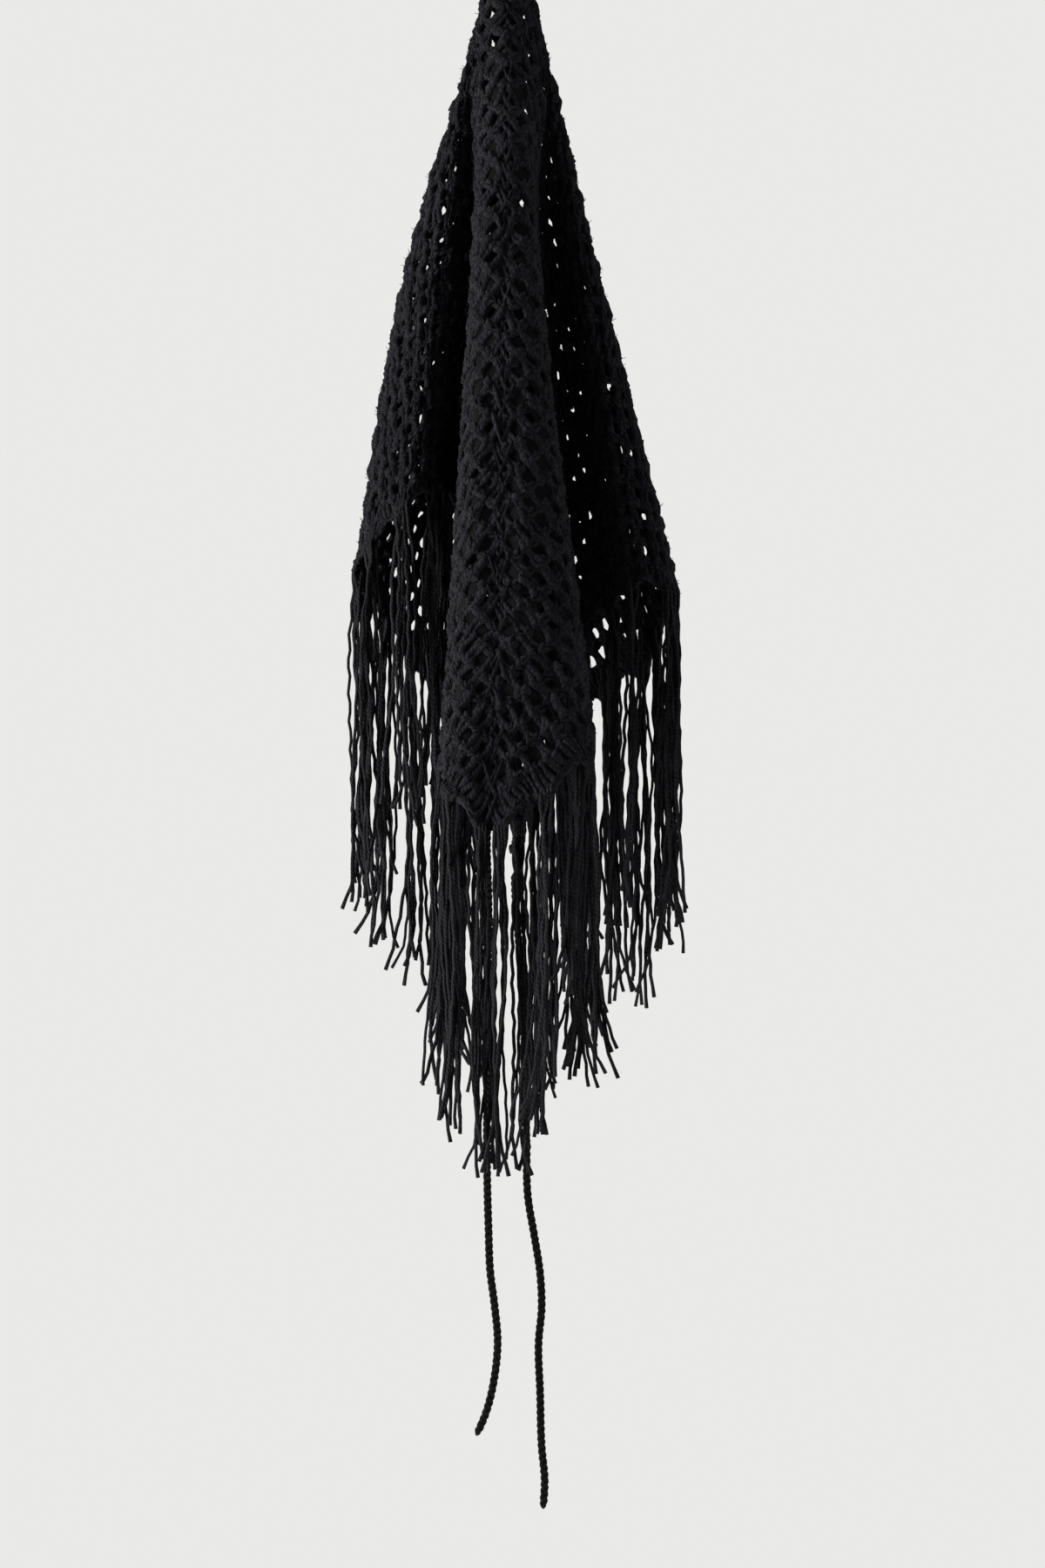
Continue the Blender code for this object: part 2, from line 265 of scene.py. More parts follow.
def edge_pull(place, share):
    """The share of a point once the fringe has drawn the edge down into scallops."""
    near = np.clip((share - SCALLOP_SHARE) / (1 - SCALLOP_SHARE), 0, 1) ** 2
    wave = np.cos(2 * math.pi * (BUNDLES * np.abs(place) - FIRST_BUNDLE))
    return share + near * wave * SCALLOP / HEIGHT


def puckers(along, across):
    """Height of the soft puckers that the clusters press into the cloth."""
    sway = PUCKER_SWAY * np.sin(across / PUCKER_ACROSS)
    return (PUCKER * np.sin(2 * math.pi * along / PUCKER_ALONG + sway)
            * np.sin(2 * math.pi * across / PUCKER_ACROSS))


def hang(side, flat):
    """Flat points (along, across, height) of the right (1) or left (-1) half, hung in place."""
    share = np.maximum(flat[:, 1] / HEIGHT, LEAST_SHARE)
    place = np.clip((flat[:, 0] / share + HEIGHT) / SHORT_EDGE, *PLACE_RANGE)
    share = edge_pull(place, share)
    step = np.where(place > 0.5, -SURFACE_STEP, SURFACE_STEP)
    here = cloth_points(side * place, share)
    along = (cloth_points(side * (place + step), share) - here) * np.sign(step * side)[:, None]
    across = cloth_points(side * place, share + SURFACE_STEP) - here
    normal = unit(np.cross(across, along))
    height = flat[:, 2] + puckers(flat[:, 0], flat[:, 1])
    return here + normal * height[:, None]


front = hang(np.array([1.0]), np.array([[-0.5 * HEIGHT, 0.6 * HEIGHT, 10 * MM]]))[0]
print("a point 10 mm in front of the cloth", front.round(4))

# %% [markdown]
# ## Wall and floor
# The picture has a plain pale wall. A wall of mesh would catch shadows and uneven light, so the
# world itself is the wall. It lights the scarf less than it shines to the camera, as in a
# studio with dark sides, which keeps the black yarn deep. A pale floor lies below the view.

# %% Wall and floor
WALL_COLOUR = (0.820, 0.820, 0.807, 1.0)
ROOM_LIGHT = 0.55
FLOOR_COLOUR = (0.85, 0.85, 0.84, 1.0)
FLOOR_ROUGHNESS = 0.9
FLOOR_DEPTH = -1.75
FLOOR_RADIUS = 4.3
FLOOR_SIDES = 96

scene.view_settings.view_transform = "Standard"
world = bpy.data.worlds.new("soft_daylight")
world.use_nodes = True
sky = world.node_tree
room = sky.nodes["Background"]
room.inputs["Color"].default_value = WALL_COLOUR
room.inputs["Strength"].default_value = ROOM_LIGHT
wall = sky.nodes.new("ShaderNodeBackground")
wall.inputs["Color"].default_value = WALL_COLOUR
rays = sky.nodes.new("ShaderNodeLightPath")
mixed = sky.nodes.new("ShaderNodeMixShader")
sky.links.new(rays.outputs["Is Camera Ray"], mixed.inputs[0])
sky.links.new(room.outputs[0], mixed.inputs[1])
sky.links.new(wall.outputs[0], mixed.inputs[2])
sky.links.new(mixed.outputs[0], sky.nodes["World Output"].inputs[0])
scene.world = world

floor_material = bpy.data.materials.new("pale_floor")
floor_material.use_nodes = True
floor_shader = floor_material.node_tree.nodes["Principled BSDF"]
floor_shader.inputs["Base Color"].default_value = FLOOR_COLOUR
floor_shader.inputs["Roughness"].default_value = FLOOR_ROUGHNESS

bm = bmesh.new()
bmesh.ops.create_circle(bm, cap_ends=True, segments=FLOOR_SIDES, radius=FLOOR_RADIUS)
bmesh.ops.translate(bm, verts=bm.verts, vec=(0, 0, FLOOR_DEPTH))
floor_mesh = bpy.data.meshes.new("floor")
bm.to_mesh(floor_mesh)
bm.free()
floor_mesh.materials.append(floor_material)
floor = bpy.data.objects.new("floor", floor_mesh)
scene.collection.objects.link(floor)
floor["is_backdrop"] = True
print("floor", FLOOR_DEPTH, "m below the hanging point")

# %% [markdown]
# ## Lamps
# The daylight is soft and comes mostly from the left. A small lamp would give hard shadows and
# sparks on the yarn, so two large square ones stand far out at the sides: a strong one on the
# left, for the bright sides of the folds, and a weak one on the right, for a soft edge.

# %% Lamps
LAMP_SIZE = 1.2
LAMP_TARGET = Vector((0, 0, -0.45))
LAMPS = (
    # name, place in metres, power in watts
    ("window_left", (-2.65, -0.6, -0.1), 270),
    ("window_right", (2.6, -0.7, -0.1), 38),
)

for name, lamp_place, power in LAMPS:
    lamp = bpy.data.lights.new(name, "AREA")
    lamp.size = LAMP_SIZE
    lamp.energy = power
    holder = bpy.data.objects.new(name, lamp)
    holder.location = lamp_place
    aim = LAMP_TARGET - Vector(lamp_place)
    holder.rotation_euler = aim.to_track_quat("-Z", "Y").to_euler()
    scene.collection.objects.link(holder)
    print(name, power, "W")

# %% [markdown]
# ## Plies, fibres and fuzz
# The whole scarf is one soft yarn of twisted plies. A pattern on the object's own coordinates
# would lie across the threads, so each thread carries an attribute with the direction round it
# and the distance along it. The patterns are wound round the thread from that, whichever way it
# runs. Only the finest fuzz needs no direction.

# %% Patterns on a thread
PLY_PITCH = 9 * MM
PLIES = 3
FIBRE_STRETCH = 60.0  # units of the pattern in a metre; round the thread one is its radius
FIBRE_SCALE, FIBRE_DETAIL = 7.0, 3.0
FUZZ_SCALE, FUZZ_DETAIL = 620.0, 4.0


def math_node(tree, operation, first, second=None):
    """The output of one calculation on sockets or numbers."""
    node = tree.nodes.new("ShaderNodeMath")
    node.operation = operation
    for socket, value in zip(node.inputs, (first, second)):
        if isinstance(value, (int, float)):
            socket.default_value = value
        elif value is not None:
            tree.links.new(value, socket)
    return node.outputs[0]


def noise_node(tree, vector, scale, detail):
    node = tree.nodes.new("ShaderNodeTexNoise")
    node.inputs["Scale"].default_value = scale
    node.inputs["Detail"].default_value = detail
    tree.links.new(vector, node.inputs["Vector"])
    return node.outputs["Fac"]


def attribute_node(tree, name, output):
    node = tree.nodes.new("ShaderNodeAttribute")
    node.attribute_name = name
    return node.outputs[output]


def thread_patterns(tree):
    """The sockets of the plies, the fibres and the fuzz."""
    parts = tree.nodes.new("ShaderNodeSeparateXYZ")
    tree.links.new(attribute_node(tree, "yarn", "Vector"), parts.inputs[0])
    angle = math_node(tree, "ARCTAN2", parts.outputs["Y"], parts.outputs["X"])
    winding = math_node(tree, "MULTIPLY", parts.outputs["Z"], 2 * math.pi / PLY_PITCH)
    turned = math_node(tree, "ADD", angle, winding)
    plies = math_node(tree, "SINE", math_node(tree, "MULTIPLY", turned, PLIES))

    wound = tree.nodes.new("ShaderNodeCombineXYZ")
    tree.links.new(math_node(tree, "COSINE", turned), wound.inputs["X"])
    tree.links.new(math_node(tree, "SINE", turned), wound.inputs["Y"])
    stretched = math_node(tree, "MULTIPLY", parts.outputs["Z"], FIBRE_STRETCH)
    tree.links.new(stretched, wound.inputs["Z"])
    fibres = noise_node(tree, wound.outputs[0], FIBRE_SCALE, FIBRE_DETAIL)
    coordinates = tree.nodes.new("ShaderNodeTexCoord")
    fuzz = noise_node(tree, coordinates.outputs["Object"], FUZZ_SCALE, FUZZ_DETAIL)
    return plies, fibres, fuzz


print(PLIES, "plies make one turn in", round(PLY_PITCH, 3), "m")

# %% [markdown]
# ## Yarn materials
# Black yarn isn't plain black: fibres on its outside catch light and gaps between them stay
# dark. So the patterns run from a dark to a lighter colour, and a second attribute makes some
# threads lighter than others. The same patterns drive a bump, which is fine enough to leave to
# the shader, and a little sheen stands for the fuzz. The cloth, the loose fringe and the firm
# ties are the same yarn, worked differently, so they share one recipe with values of their own.

# %% Yarn materials
RAMP_START, RAMP_END = 0.35, 0.72
SHEEN_ROUGHNESS = 0.5
PLY_SHARE = 0.5  # of the plies in the bump
BUMP_DEPTH = 0.9 * MM


def yarn_material(name, dark, light, roughness, specular, sheen):
    """One yarn, from its two colours and the values of its surface."""
    material = bpy.data.materials.new(name)
    material.use_nodes = True
    tree = material.node_tree
    shader = tree.nodes["Principled BSDF"]
    shader.inputs["Roughness"].default_value = roughness
    shader.inputs["Specular IOR Level"].default_value = specular
    shader.inputs["Sheen Weight"].default_value = sheen
    shader.inputs["Sheen Roughness"].default_value = SHEEN_ROUGHNESS

    plies, fibres, fuzz = thread_patterns(tree)
    ramp = tree.nodes.new("ShaderNodeValToRGB")
    for stop, position, colour in zip(ramp.color_ramp.elements, (RAMP_START, RAMP_END),
                                      (dark, light)):
        stop.position = position
        stop.color = (*colour, 1)
    tree.links.new(math_node(tree, "MULTIPLY", math_node(tree, "ADD", fibres, fuzz), 0.5),
                   ramp.inputs["Fac"])
    toned = tree.nodes.new("ShaderNodeVectorMath")
    toned.operation = "SCALE"
    tree.links.new(ramp.outputs["Color"], toned.inputs[0])
    tree.links.new(attribute_node(tree, "tone", "Fac"), toned.inputs["Scale"])
    tree.links.new(toned.outputs[0], shader.inputs["Base Color"])

    height = math_node(tree, "ADD", math_node(tree, "MULTIPLY", plies, PLY_SHARE), fibres)
    height = math_node(tree, "ADD", height, fuzz)
    bump = tree.nodes.new("ShaderNodeBump")
    bump.inputs["Strength"].default_value = 1.0
    bump.inputs["Distance"].default_value = BUMP_DEPTH
    tree.links.new(height, bump.inputs["Height"])
    tree.links.new(bump.outputs["Normal"], shader.inputs["Normal"])
    return material


cloth_yarn = yarn_material(
    "cloth_yarn_fuzzy", dark=(0.0009, 0.0008, 0.0013), light=(0.0084, 0.0073, 0.0122),
    roughness=0.85, specular=0.05, sheen=0.02)
fringe_yarn = yarn_material(
    "fringe_yarn_loose", dark=(0.0014, 0.0014, 0.0022), light=(0.0104, 0.0098, 0.0142),
    roughness=0.7, specular=0.08, sheen=0.015)
tie_yarn = yarn_material(
    "tie_yarn_firm", dark=(0.0010, 0.0010, 0.0012), light=(0.0055, 0.0053, 0.0060),
    roughness=0.8, specular=0.06, sheen=0.01)
print("yarn materials", cloth_yarn.name, fringe_yarn.name, tie_yarn.name)

# %% [markdown]
# ## One straight tube
# Yarn is round, and each thread could be a curve with a bevel. Thousands of curves are slow,
# and their direction round the thread is hard to read out. So a thread is a capped tube: a
# round cap is extruded station by station with bmesh. An extrusion makes its faces in an order
# that can change from run to run, so they are sorted at the end.

# %% Straight tube
def face_order(face):
    """A number that grows round each ring, and by a full turn for half a station."""
    centre = face.calc_center_median()
    return 4 * math.pi * centre.z + math.atan2(centre.y, centre.x)


def straight_tube(stations, sides):
    """A capped tube of radius 1 that has its stations at z = 0, 1, 2 and so on."""
    bm = bmesh.new()
    bmesh.ops.create_circle(bm, cap_ends=True, segments=sides, radius=1.0)
    end = bm.faces[:]
    for _ in range(stations - 1):
        grown = bmesh.ops.extrude_face_region(bm, geom=end)["geom"]
        end = [part for part in grown if isinstance(part, bmesh.types.BMFace)]
        verts = [part for part in grown if isinstance(part, bmesh.types.BMVert)]
        bmesh.ops.translate(bm, verts=verts, vec=(0, 0, 1))
    bmesh.ops.recalc_face_normals(bm, faces=bm.faces)
    bm.faces.sort(key=face_order)
    mesh = bpy.data.meshes.new("straight_tube")
    bm.to_mesh(mesh)
    bm.free()
    return mesh


example = straight_tube(stations=2, sides=6)
print("a tube of one step has", len(example.vertices), "points and",
      len(example.polygons), "faces")
bpy.data.meshes.remove(example)

# %% [markdown]
# ## Threads along paths
# The straight tube's mesh is taken once for each thread of a piece, and all the threads are then
# bent onto their paths together, which is quick even for thousands of them. Each thread starts
# its twist at a point of its own and gets a tone of its own, so no two look the same.

# %% Threads along paths
TONES = (0.6, 1.4)


def bend_tubes(paths, radii, sides, upright):
    """Threads on paths (thread, station, xyz): their template, points and two attributes."""
    count, stations = paths.shape[:2]
    template = straight_tube(stations, sides)
    corners = np.empty(len(template.vertices) * 3)
    template.vertices.foreach_get("co", corners)
    corners = corners.reshape(-1, 3)
    station = corners[:, 2].round().astype(int)

    tangent = unit(np.gradient(paths, axis=1))
    first = unit(upright - (tangent * upright).sum(-1, keepdims=True) * tangent)
    second = np.cross(tangent, first)
    points = (paths[:, station]
              + radii[:, station, None] * (corners[:, 0, None] * first[:, station]
                                           + corners[:, 1, None] * second[:, station]))
    steps = np.linalg.norm(np.diff(paths, axis=1), axis=-1)
    along = np.concatenate((np.zeros((count, 1)), np.cumsum(steps, axis=1)), axis=1)
    yarn = np.empty((count, len(corners), 3))
    yarn[..., :2] = corners[None, :, :2]
    yarn[..., 2] = along[:, station] + rng.uniform(0, PLY_PITCH, (count, 1))
    tone = np.repeat(rng.uniform(*TONES, count), len(corners))
    return template, points, yarn, tone


def joined(arrays):
    """All the numbers of some arrays in one row."""
    return np.concatenate([array.reshape(-1) for array in arrays])


def add_threads(name, batches, material):
    """One object of all the threads in some batches of (template, points, yarn, tone)."""
    templates, points, yarns, tones = zip(*batches)
    bm = bmesh.new()
    for template, threads in zip(templates, points):
        for _ in range(len(threads)):
            bm.from_mesh(template)
    mesh = bpy.data.meshes.new(name)
    bm.to_mesh(mesh)
    bm.free()
    mesh.vertices.foreach_set("co", joined(points))
    mesh.attributes.new("yarn", "FLOAT_VECTOR", "POINT").data.foreach_set("vector", joined(yarns))
    mesh.attributes.new("tone", "FLOAT", "POINT").data.foreach_set("value", joined(tones))
    mesh.polygons.foreach_set("use_smooth", np.ones(len(mesh.polygons), dtype=bool))
    mesh.update()
    mesh.materials.append(material)
    obj = bpy.data.objects.new(name, mesh)
    scene.collection.objects.link(obj)
    return obj


def triangles(obj):
    return sum(len(face.vertices) - 2 for face in obj.data.polygons)


print("tones of the threads from", TONES[0], "to", TONES[1])

# %% [markdown]
# ## The ties' routes
# Each tie hangs from a corner of the cloth. A settled rope could be simulated, but the free ends
# are known from the picture, with their small bends. So each route is a row of corners, and a
# smooth curve runs through them.

# %% Routes
TIE_ROUTES = {
    "left": (
        (-13, 116.5, -535.8), (-14, 122, -560), (-13, 125, -600), (-14, 127, -660),
        (-14, 127, -720), (-14, 127, -776), (-13, 127, -816), (-12, 126, -842),
        (-9, 126, -866), (-7, 126, -889), (-9, 126, -912), (-15, 126, -937), (-21, 126, -951),
    ),
    "right": (
        (4, 126.5, -580.8), (5, 132, -604), (8, 136, -640), (11, 138, -700), (12, 138, -760),
        (13, 138, -796), (17, 138, -820), (21, 138, -846), (22, 138, -868), (20, 138, -891),
        (21, 138, -925), (22, 138, -960), (24, 138, -983), (23, 138, -1001),
    ),
}


def smooth_route(route, count):
    """Evenly spaced points on the smooth curve through a route's corners, and its length."""
    corners = np.array(route) * MM
    steps = np.linalg.norm(np.diff(corners, axis=0), axis=1)
    stations = np.concatenate(([0.0], np.cumsum(steps)))
    slopes = slopes_at(stations[:, None], corners)
    where = np.linspace(0, stations[-1], count)
    k = np.clip(np.searchsorted(stations, where, side="right") - 1, 0, len(corners) - 2)
    span = (stations[k + 1] - stations[k])[:, None]
    t = (where[:, None] - stations[k][:, None]) / span
    points = smooth_value(corners[k], corners[k + 1], span, slopes[k], slopes[k + 1], t)
    return points, stations[-1]


for name, route in TIE_ROUTES.items():
    print("tie", name, "has", len(route), "corners")

# %% [markdown]
# ## Ties
# Each tie is a slim crocheted cord, and its stitches make a row of bumps, much like a plait. A
# plain tube would look like wire, and real stitches are too small to see here. So three strands
# are plaited round the tie's line. The ends are drawn together and rounded.

# %% Ties
TIE_STRAND = 1.35 * MM
TIE_SIDES = 6
TIE_STATIONS = 240
PLAITED = 3
PLAIT_WIDTH = 1.45 * MM
PLAIT_DEPTH = 0.85 * MM
PLAIT_PITCH = 13 * MM
ROUNDED_END = 4 * MM
END_SHARE = 0.45  # of a strand's radius that is left at the very end
FRONTWARD = np.array((0.0, -1.0, 0.0))

cords = []
for name, route in TIE_ROUTES.items():
    line, length = smooth_route(route, TIE_STATIONS)
    tangent = unit(np.gradient(line, axis=0))
    side = unit(np.cross(tangent, FRONTWARD))
    depth = np.cross(side, tangent)
    along = np.linspace(0, length, TIE_STATIONS)
    ends = np.minimum(1.0, np.minimum(along, length - along) / ROUNDED_END) ** 0.5
    plait = []
    for strand in range(PLAITED):
        turn = 2 * math.pi * (along / PLAIT_PITCH + strand / PLAITED)
        plait.append(line + side * (PLAIT_WIDTH * ends * np.sin(turn))[:, None]
                     + depth * (PLAIT_DEPTH * ends * np.sin(2 * turn))[:, None])
    plait = np.array(plait)
    radii = np.tile(TIE_STRAND * (END_SHARE + (1 - END_SHARE) * ends), (PLAITED, 1))
    threads = bend_tubes(plait, radii, TIE_SIDES, FRONTWARD)
    cord = add_threads("cord_" + name, [threads], tie_yarn)
    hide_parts("tie_" + name)
    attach(cord, "root")
    cords.append(cord)
    print(cord.name, "length", round(length, 3), "m,", triangles(cord), "triangles")

# %% [markdown]
# ## The rows of crochet
# The scarf is worked from the neck outwards in 31 rows. Two double crochets stand close
# together, then comes an eyelet. The pairs of all rows stand over each other, so the eyelets
# make a square lattice, which hangs slantwise. A pair is drawn in at its middle, so the eyelets
# are round. One more post closes each end of a row, at the spine and at the long edge. The rows
# near the neck carry the weight of the scarf and are drawn wider open, and so is the right half.
# The first rows have no eyelets, and the last is a plain row of single stitches for the fringe.
# A picture of the lace on a smooth cloth would be quicker, but it would look flat, so every post
# gets a place of its own.

# %% Where the stitches stand
ROWS = 31
ROW_PITCH = HEIGHT / ROWS
PAIR_WANDER = 0.7 * MM
SPREAD = 2.7 * MM
PINCH = 1.6 * MM
SINGLE_PITCH = 4.2 * MM
EDGE_REACH = 1.2 * MM
FIRST_OPEN_ROW = 3
NECK_ROWS = 11
NECK_PULL = 0.7
SIDE_PULL = {-1: 1.0, 1: 1.3}  # left half, right half


def half_length(row):
    """Half the length of a row, halfway up the row."""
    return (row - 0.5) * ROW_PITCH


def pair_middles(row):
    """How far along a row the middles of its pairs stand."""
    return np.arange(1 - row, row) * ROW_PITCH


def neck_pull(row):
    """How much wider the scarf's weight draws the eyelets of a row near the neck."""
    return 1 + NECK_PULL * max(0.0, 1 - row / NECK_ROWS)


def row_posts(row):
    """How far along a row each post stands, and how far its middle is drawn aside."""
    half = half_length(row)
    if row == ROWS:
        return [(along, 0.0) for along in np.arange(SINGLE_PITCH / 2 - half, half, SINGLE_PITCH)]
    middles = pair_middles(row)
    pairs = [(middle + part * SPREAD, -part * PINCH * neck_pull(row))
             for middle in middles + rng.normal(0, PAIR_WANDER, len(middles)) for part in (-1, 1)]
    return pairs + [(-half - EDGE_REACH, 0.0), (half + EDGE_REACH, 0.0)]


posts = np.array([(side, row, along, aside * SIDE_PULL[side]) for row in range(1, ROWS + 1)
                  for side in (-1, 1) for along, aside in row_posts(row)])
print(len(posts), "posts in", ROWS, "rows")

# %% [markdown]
# ## Posts and their loose fibres
# A double crochet is a thick post of loosely twisted yarn. Every loop of the real stitch could
# be followed, but from a metre away the post is all that shows. So it is one thread with a small
# sway of its own, and short loose fibres lie over it and stand off it all round.

# %% Paths of posts and fibres
POST_RADIUS = 1.95 * MM
POST_STATIONS = 5
POST_SWAY = 0.5 * MM
POST_TURN = 1.6 * math.pi
FOOT_OVERLAP = 1.5 * MM
FIBRES_PER_POST = 6
FIBRE_DEPTH = 0.85  # of the post's radius, where a fibre starts
FIBRE_STAND = 0.2
FIBRE_SCATTER = 0.6
FIBRE_LENGTHS = (1.5, 3.5)  # in millimetres


def post_paths(posts, shift):
    """Flat paths (post, station, xyz) of the posts, each with a small sway of its own."""
    _, row, along, aside = posts.T[:, :, None]
    start, end = (row - 1) * ROW_PITCH - FOOT_OVERLAP, row * ROW_PITCH
    f = np.linspace(0, 1, POST_STATIONS)
    turn = rng.uniform(0, 2 * math.pi, (len(posts), 1)) + POST_TURN * f
    return np.stack((along + aside * np.sin(math.pi * f) + shift[:, :1] + POST_SWAY * np.cos(turn),
                     start + (end - start) * f,
                     shift[:, 2:] + POST_SWAY * np.sin(turn)), axis=-1)


def fibre_paths(paths):
    """Short fibres that lie and stand on the posts all round."""
    count = FIBRES_PER_POST * len(paths)
    station = rng.integers(0, POST_STATIONS, count)
    root = np.tile(paths, (FIBRES_PER_POST, 1, 1))[np.arange(count), station]
    turn = rng.uniform(0, 2 * math.pi, count)
    out = np.stack((np.cos(turn), np.zeros(count), np.sin(turn)), axis=1)
    way = unit(FIBRE_STAND * out + rng.normal(0, FIBRE_SCATTER, (count, 3)))
    start = root + out * FIBRE_DEPTH * POST_RADIUS
    return np.stack((start, start + way * rng.uniform(*FIBRE_LENGTHS, (count, 1)) * MM), axis=1)


print("each post has", POST_STATIONS, "stations and", FIBRES_PER_POST, "loose fibres")

# %% [markdown]
# ## Stitches
# A V of yarn lies on the head of each post, and the Vs of a row make a chain. Without them the
# rows would look like rows of pegs. Posts, Vs and fibres are all drawn flat, in the row's own
# coordinates, and then hung. Small random shifts, thicknesses and lumps keep them soft and
# irregular.

# %% Threads of the stitches
POST_SWELL = 0.22
LINK_RADIUS = 1.6 * MM
LINK = np.array(((3.2, 1.4, 0.0), (0.5, 1.5, 0.9), (-2.6, 0.0, 0.4),
                 (0.5, -1.5, 0.9), (3.2, -1.4, 0.0))) * MM
FIBRE_RADIUS = 0.17 * MM
THICKNESSES = (0.88, 1.1)
JITTER = 0.45 * MM
LUMPS = 0.34 * MM
FIBRE_TONE = 2.0
POST_SIDES, LINK_SIDES, FIBRE_SIDES = 6, 5, 3
UPWARD = np.array((0.0, 0.0, 1.0))


def hang_batch(side, batch, lumps):
    """A batch of flat threads, made lumpy and hung in place."""
    template, points, yarn, tone = batch
    points = points + rng.normal(0, lumps, points.shape)
    sides = np.repeat(side, points.shape[1])
    return template, hang(sides, points.reshape(-1, 3)).reshape(points.shape), yarn, tone


def stitch_batches(posts):
    """The threads of some posts, of the chain on their heads and of their loose fibres."""
    side, row, along, _ = posts.T
    shift = rng.normal(0, JITTER, (len(posts), 3))
    paths = post_paths(posts, shift)
    swell = 1 + POST_SWELL * np.sin(math.pi * np.linspace(0, 1, POST_STATIONS))
    radii = POST_RADIUS * rng.uniform(*THICKNESSES, (len(posts), 1)) * swell
    bodies = bend_tubes(paths, radii, POST_SIDES, UPWARD)
    heads = np.stack((along, row * ROW_PITCH, np.zeros(len(posts))), axis=1) + shift
    radii = LINK_RADIUS * rng.uniform(*THICKNESSES, (len(posts), 1)) * np.ones(len(LINK))
    links = bend_tubes(heads[:, None, :] + LINK, radii, LINK_SIDES, UPWARD)
    hairs = fibre_paths(paths)
    radii = np.full(hairs.shape[:2], FIBRE_RADIUS)
    template, points, yarn, tone = bend_tubes(hairs, radii, FIBRE_SIDES, UPWARD)
    fibres = template, points, yarn, tone * FIBRE_TONE
    return [hang_batch(side, bodies, LUMPS), hang_batch(side, links, LUMPS),
            hang_batch(np.tile(side, FIBRES_PER_POST), fibres, 0.0)]


print("a V of the chain is", round(np.ptp(LINK[:, 0]) / MM, 1), "mm long")

# %% [markdown]
# ## Pieces of crochet
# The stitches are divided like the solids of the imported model, into a front, two sides and two
# stretches at the back, so each piece stays small enough to work with. The posts that close the
# rows stand a little past the long edge and go with the last stretch.

# %% Crochet
STRETCHES = (
    # name, from place, to place
    ("back_left", -1.0, -0.7),
    ("left", -0.7, -0.2),
    ("front", -0.2, 0.2),
    ("right", 0.2, 0.7),
    ("back_right", 0.7, 1.0),
)
LAST_PLACE = 0.999

side, row, along, _ = posts.T
post_place = side * (along * ROWS / (row - 0.5) + HEIGHT) / SHORT_EDGE
post_place = np.clip(post_place, -LAST_PLACE, LAST_PLACE)
soft_pieces = []
for name, low, high in STRETCHES:
    chosen = posts[(post_place >= low) & (post_place < high)]
    piece = add_threads("crochet_" + name, stitch_batches(chosen), cloth_yarn)
    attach(piece, "root")
    soft_pieces.append(piece)
    print(piece.name, len(chosen), "stitches,", triangles(piece), "triangles")

# %% [markdown]
# ## The cloth behind the stitches
# Between the posts of real crochet, crossing strands close the small gaps, and only the eyelets
# stay open. Those strands could be drawn too, but they would double the threads and hardly be
# seen. A thin sheet in the middle of the cloth stands for them, and its dark colour is painted
# shade. Each row is a strip of a grid, and the cells between two pairs are left open, some more
# and some less. Beside the spine and the long edge the cloth is denser, so most cells stay closed
# and show the sheet's painted shade as dark eyelets, and few let the wall shine in.

# %% Rows of the sheet
LEVELS = np.array((0.0, 2.6, 4.4, 7.4, 9.2, ROW_PITCH / MM)) * MM
EYELET_WIDTHS = np.array((0.0, 1.7, 2.8, 2.8, 1.7, 0.0)) * MM
EYELET_SIZES = (0.45, 1.25)  # smallest and largest, as a share of those widths
CLOSED_SHARE = 0.8
SPINE_WIDTH = 44 * MM
SPINE_PLACE = 0.12
LONG_EDGE_PLACE = 0.83
LEAST_ACROSS = 1 * MM  # keeps the first row from closing at the hanging point


def row_columns(row):
    """The columns of a row's grid: where each stands, its side of an eyelet, and open cells."""
    half = half_length(row)
    if row < FIRST_OPEN_ROW or row == ROWS:
        columns = round(2 * half / SINGLE_PITCH) + 1
        return np.linspace(-half, half, columns), np.zeros(columns), []
    pairs = pair_middles(row)
    stands, sides, open_cells = [-half, pairs[0]], [0, 0], []
    for before, after in zip(pairs[:-1], pairs[1:]):
        middle = 0.5 * (before + after)
        place = 0.5 + 0.5 * middle / half
        at_spine = place < min(SPINE_PLACE, SPINE_WIDTH / (2 * half))
        at_long_edge = place > LONG_EDGE_PLACE and row > NECK_ROWS
        size = rng.uniform(*EYELET_SIZES) * neck_pull(row)
        if rng.uniform() > CLOSED_SHARE * (at_spine or at_long_edge):
            open_cells.append(len(stands))
        stands += [middle, middle, after]
        sides += [-size, size, 0]
    return np.array(stands + [half]), sides + [0], open_cells


